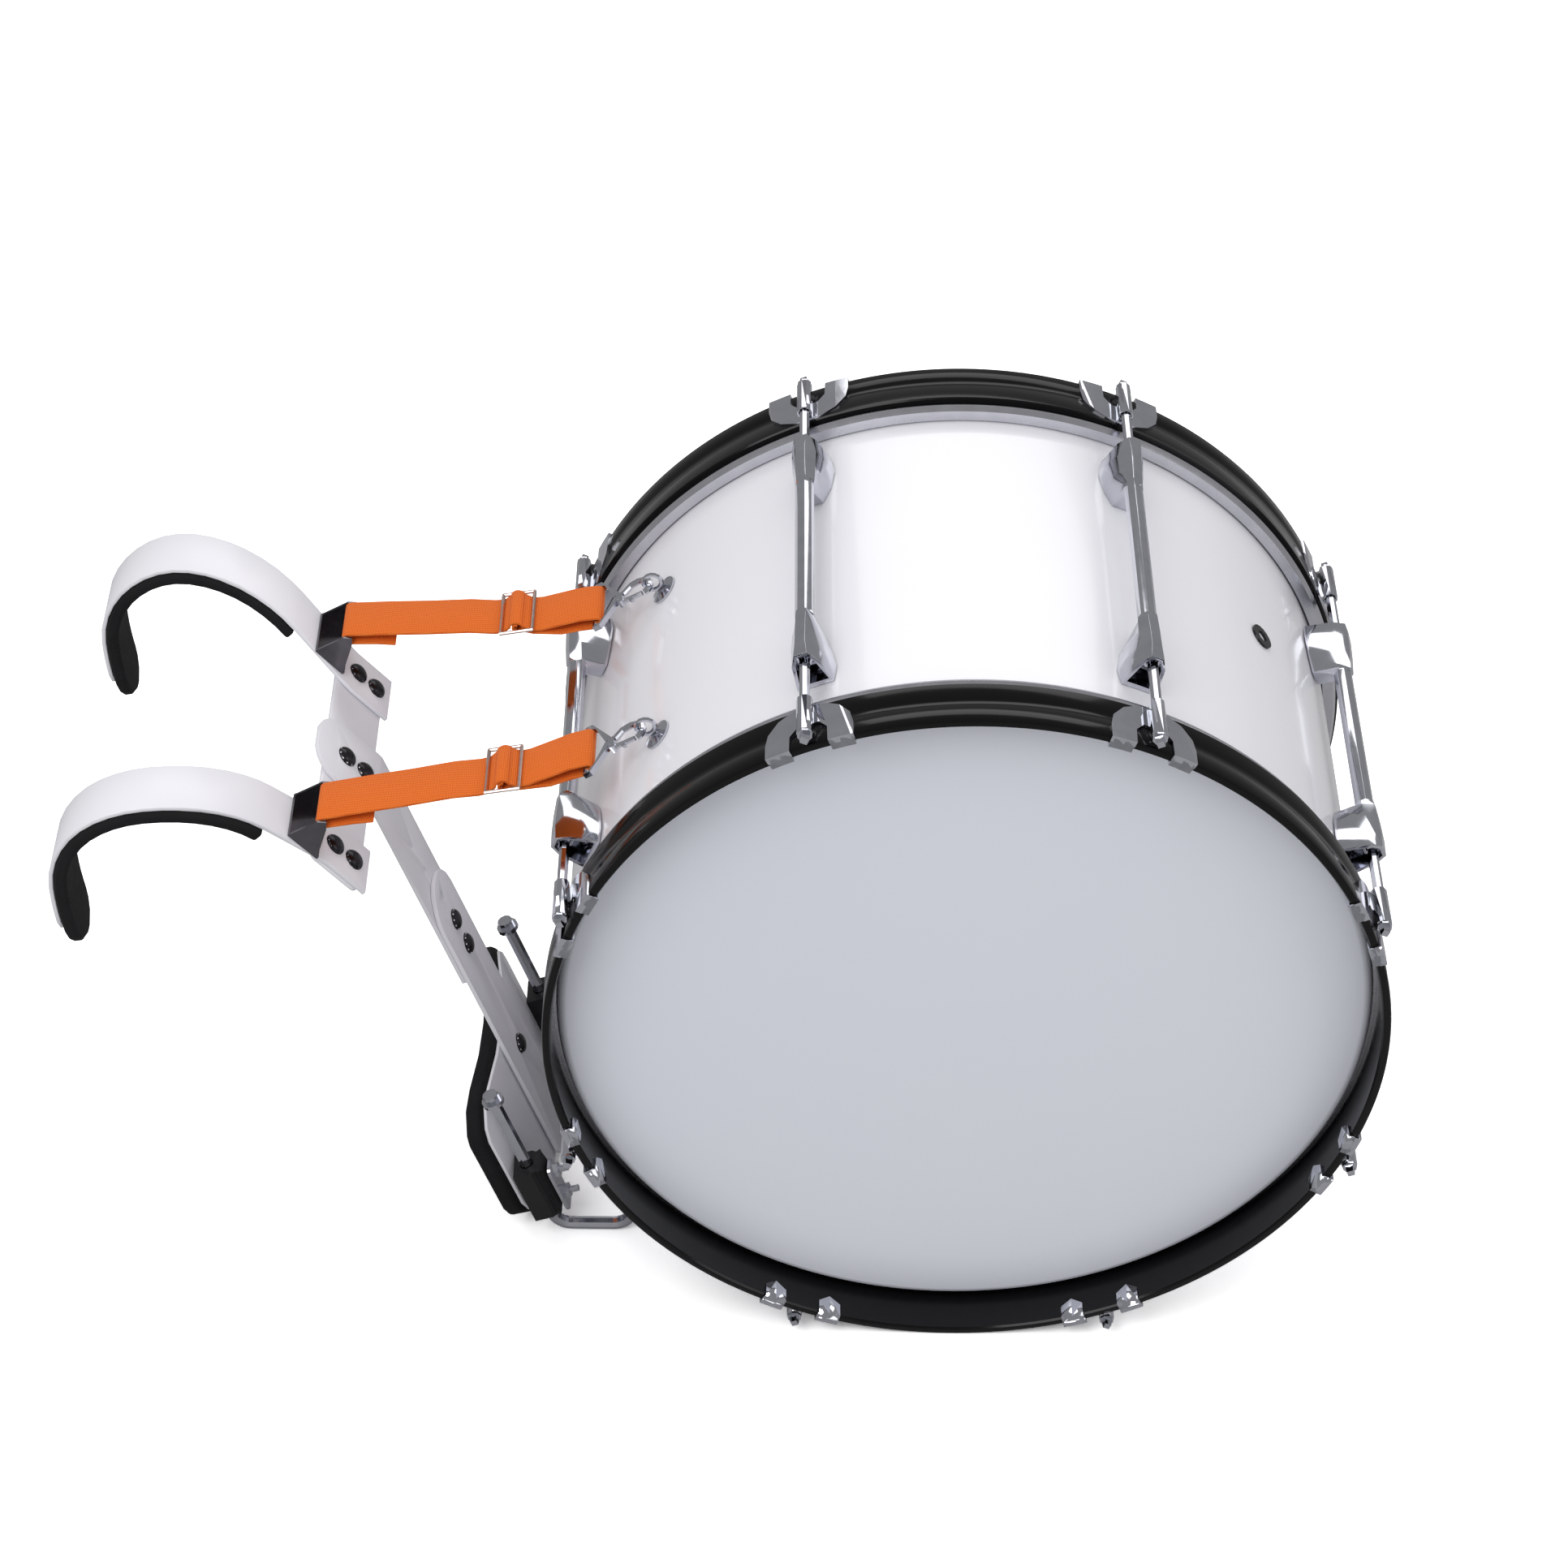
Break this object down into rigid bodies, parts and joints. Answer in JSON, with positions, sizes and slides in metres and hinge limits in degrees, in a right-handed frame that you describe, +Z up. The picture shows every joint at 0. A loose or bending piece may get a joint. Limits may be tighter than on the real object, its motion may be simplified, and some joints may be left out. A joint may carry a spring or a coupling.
{
  "type": "marching bass drum with shoulder carrier",
  "caption": "Marching bass drum held sideways by orange straps on a white shoulder carrier with foam pads and chrome J-rods.",
  "frame": {"origin": "on the floor under the middle of the whole outfit", "axes": "+X forward from the player, +Y to the player's left along the drum's axis, +Z up"},
  "size_m": [0.9182, 0.4088, 0.584],
  "materials": {
    "shell_wrap": "gloss white wrap",
    "head_film": "smooth film",
    "hoop_lacquer": "gloss black lacquer",
    "flesh_metal": "plated",
    "chrome": "chrome plated",
    "dark_nickel": "dark plated",
    "carrier_paint": "white painted",
    "foam": "matt foam",
    "clamp_plastic": "satin moulded",
    "webbing": "ribbed webbing",
    "slider_wire": "plated wire"
  },
  "bodies": {
    "drum_and_belly_plate": {"air_vent": "chrome", "belly_pad": "foam", "belly_plate": "carrier_paint", "left_clamp_plate": "chrome", "left_eye_bolt": "chrome", "left_flesh_hoop": "flesh_metal", "left_head": "head_film", "left_hoop": "hoop_lacquer", "left_rod_clamp": "clamp_plastic", "left_slider": "slider_wire", "left_snap_hook": "chrome", "left_strap": "webbing", "lower_spine_bar": "carrier_paint", "lug_1": "chrome", "lug_2": "chrome", "lug_3": "chrome", "lug_4": "chrome", "lug_5": "chrome", "lug_6": "chrome", "lug_7": "chrome", "lug_8": "chrome", "right_clamp_plate": "chrome", "right_eye_bolt": "chrome", "right_flesh_hoop": "flesh_metal", "right_head": "head_film", "right_hoop": "hoop_lacquer", "right_rod_clamp": "clamp_plastic", "right_slider": "slider_wire", "right_snap_hook": "chrome", "right_strap": "webbing", "shell": "shell_wrap"},
    "shoulder_frame": {"upper_spine_bar": "carrier_paint", "cross_bar": "carrier_paint", "left_shoulder_hook": "carrier_paint", "left_shoulder_pad": "foam", "left_strap_stirrup": "dark_nickel", "right_shoulder_hook": "carrier_paint", "right_shoulder_pad": "foam", "right_strap_stirrup": "dark_nickel"},
    "left_j_rod_body": {"left_j_rod": "chrome"},
    "left_gate_body": {"left_snap_gate": "chrome"},
    "left_tension_rod_1_body": {"left_tension_rod_1": "chrome"},
    "left_tension_rod_2_body": {"left_tension_rod_2": "chrome"},
    "left_tension_rod_3_body": {"left_tension_rod_3": "chrome"},
    "left_tension_rod_4_body": {"left_tension_rod_4": "chrome"},
    "left_tension_rod_5_body": {"left_tension_rod_5": "chrome"},
    "left_tension_rod_6_body": {"left_tension_rod_6": "chrome"},
    "left_tension_rod_7_body": {"left_tension_rod_7": "chrome"},
    "left_tension_rod_8_body": {"left_tension_rod_8": "chrome"},
    "right_j_rod_body": {"right_j_rod": "chrome"},
    "right_gate_body": {"right_snap_gate": "chrome"},
    "right_tension_rod_1_body": {"right_tension_rod_1": "chrome"},
    "right_tension_rod_2_body": {"right_tension_rod_2": "chrome"},
    "right_tension_rod_3_body": {"right_tension_rod_3": "chrome"},
    "right_tension_rod_4_body": {"right_tension_rod_4": "chrome"},
    "right_tension_rod_5_body": {"right_tension_rod_5": "chrome"},
    "right_tension_rod_6_body": {"right_tension_rod_6": "chrome"},
    "right_tension_rod_7_body": {"right_tension_rod_7": "chrome"},
    "right_tension_rod_8_body": {"right_tension_rod_8": "chrome"}
  },
  "joints": [
    {"name": "shoulder_height", "type": "slide", "parent": "drum_and_belly_plate", "child": "shoulder_frame", "axis": [-0.3272, 0, 0.9449], "range_m": [-0.0255, 0.051], "deforming": ["left_strap", "right_strap"]},
    {"name": "left_j_rod_height", "type": "slide", "parent": "drum_and_belly_plate", "child": "left_j_rod_body", "axis": [-0.3272, 0, 0.9449], "range_m": [-0.04, 0.006]},
    {"name": "left_gate", "type": "hinge", "parent": "drum_and_belly_plate", "child": "left_gate_body", "pos_m": [-0.07633, 0.0735, 0.46522], "axis": [-0.5033, 0, 0.8641], "range_deg": [0, 20], "stiffness_Nm_per_rad": 0.02, "springref_deg": -11.46},
    {"name": "left_tension_rod_1_turn", "type": "hinge", "parent": "drum_and_belly_plate", "child": "left_tension_rod_1_body", "pos_m": [0.44374, 0.16, 0.40658], "axis": [0, 1, 0], "continuous": true},
    {"name": "left_tension_rod_2_turn", "type": "hinge", "parent": "drum_and_belly_plate", "child": "left_tension_rod_2_body", "pos_m": [0.28171, 0.16, 0.56861], "axis": [0, 1, 0], "continuous": true},
    {"name": "left_tension_rod_3_turn", "type": "hinge", "parent": "drum_and_belly_plate", "child": "left_tension_rod_3_body", "pos_m": [0.05256, 0.16, 0.56861], "axis": [0, 1, 0], "continuous": true},
    {"name": "left_tension_rod_4_turn", "type": "hinge", "parent": "drum_and_belly_plate", "child": "left_tension_rod_4_body", "pos_m": [-0.10948, 0.16, 0.40658], "axis": [0, 1, 0], "continuous": true},
    {"name": "left_tension_rod_5_turn", "type": "hinge", "parent": "drum_and_belly_plate", "child": "left_tension_rod_5_body", "pos_m": [-0.10948, 0.16, 0.17742], "axis": [0, 1, 0], "continuous": true},
    {"name": "left_tension_rod_6_turn", "type": "hinge", "parent": "drum_and_belly_plate", "child": "left_tension_rod_6_body", "pos_m": [0.05256, 0.16, 0.01539], "axis": [0, 1, 0], "continuous": true},
    {"name": "left_tension_rod_7_turn", "type": "hinge", "parent": "drum_and_belly_plate", "child": "left_tension_rod_7_body", "pos_m": [0.28171, 0.16, 0.01539], "axis": [0, 1, 0], "continuous": true},
    {"name": "left_tension_rod_8_turn", "type": "hinge", "parent": "drum_and_belly_plate", "child": "left_tension_rod_8_body", "pos_m": [0.44374, 0.16, 0.17742], "axis": [0, 1, 0], "continuous": true},
    {"name": "right_j_rod_height", "type": "slide", "parent": "drum_and_belly_plate", "child": "right_j_rod_body", "axis": [-0.3272, 0, 0.9449], "range_m": [-0.04, 0.006]},
    {"name": "right_gate", "type": "hinge", "parent": "drum_and_belly_plate", "child": "right_gate_body", "pos_m": [-0.07633, -0.0885, 0.46522], "axis": [-0.5033, 0, 0.8641], "range_deg": [0, 20], "stiffness_Nm_per_rad": 0.02, "springref_deg": -11.46},
    {"name": "right_tension_rod_1_turn", "type": "hinge", "parent": "drum_and_belly_plate", "child": "right_tension_rod_1_body", "pos_m": [0.44374, -0.16, 0.40658], "axis": [0, 1, 0], "continuous": true},
    {"name": "right_tension_rod_2_turn", "type": "hinge", "parent": "drum_and_belly_plate", "child": "right_tension_rod_2_body", "pos_m": [0.28171, -0.16, 0.56861], "axis": [0, 1, 0], "continuous": true},
    {"name": "right_tension_rod_3_turn", "type": "hinge", "parent": "drum_and_belly_plate", "child": "right_tension_rod_3_body", "pos_m": [0.05256, -0.16, 0.56861], "axis": [0, 1, 0], "continuous": true},
    {"name": "right_tension_rod_4_turn", "type": "hinge", "parent": "drum_and_belly_plate", "child": "right_tension_rod_4_body", "pos_m": [-0.10948, -0.16, 0.40658], "axis": [0, 1, 0], "continuous": true},
    {"name": "right_tension_rod_5_turn", "type": "hinge", "parent": "drum_and_belly_plate", "child": "right_tension_rod_5_body", "pos_m": [-0.10948, -0.16, 0.17742], "axis": [0, 1, 0], "continuous": true},
    {"name": "right_tension_rod_6_turn", "type": "hinge", "parent": "drum_and_belly_plate", "child": "right_tension_rod_6_body", "pos_m": [0.05256, -0.16, 0.01539], "axis": [0, 1, 0], "continuous": true},
    {"name": "right_tension_rod_7_turn", "type": "hinge", "parent": "drum_and_belly_plate", "child": "right_tension_rod_7_body", "pos_m": [0.28171, -0.16, 0.01539], "axis": [0, 1, 0], "continuous": true},
    {"name": "right_tension_rod_8_turn", "type": "hinge", "parent": "drum_and_belly_plate", "child": "right_tension_rod_8_body", "pos_m": [0.44374, -0.16, 0.17742], "axis": [0, 1, 0], "continuous": true}
  ]
}
